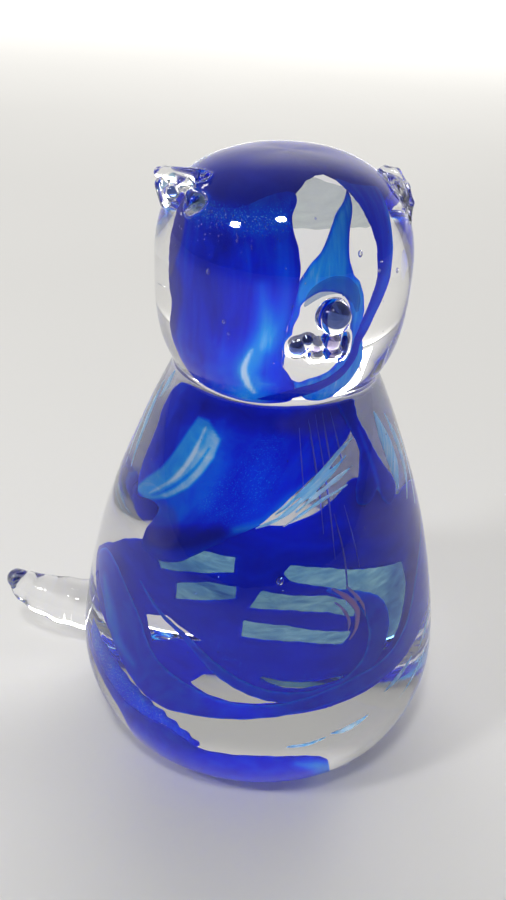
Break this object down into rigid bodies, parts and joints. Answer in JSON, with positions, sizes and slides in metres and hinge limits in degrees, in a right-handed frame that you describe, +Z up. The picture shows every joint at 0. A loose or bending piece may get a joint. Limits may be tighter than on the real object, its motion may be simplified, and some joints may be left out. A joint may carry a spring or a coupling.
{
  "type": "crystal glass figurine",
  "caption": "Sitting cat figurine in solid clear glass with cobalt veils inside, domed head, pinched ears, short hooked tail and a flat ground base.",
  "frame": {"origin": "middle of the flat ground base", "axes": "+Z up through the crown of the head, the cat faces -Y, its ears lie along X with its own left at +X"},
  "size_m": [0.0823, 0.07, 0.1106],
  "materials": {
    "clear": "polished clear hot-worked glass",
    "cobalt": "transparent deep cobalt glass cased in clear",
    "pale_cobalt": "thinly drawn cobalt glass, paler and streaky"
  },
  "bodies": {
    "root": {"body_core": "clear", "body_casing": "clear", "head_core": "clear", "head_casing": "clear", "veil_shoulder": "cobalt", "veil_back": "cobalt", "veil_flank_loop": "cobalt", "veil_belly_band": "cobalt", "veil_foot_ring": "cobalt", "veil_belly_arch": "pale_cobalt", "veil_face_teardrop": "pale_cobalt", "veil_head_panel": "cobalt", "veil_crown": "cobalt", "veil_nape": "cobalt", "veil_head_ribbon": "cobalt", "ear_right": "clear", "ear_left": "clear", "nose": "clear", "muzzle": "clear", "tail": "clear"}
  },
  "joints": []
}
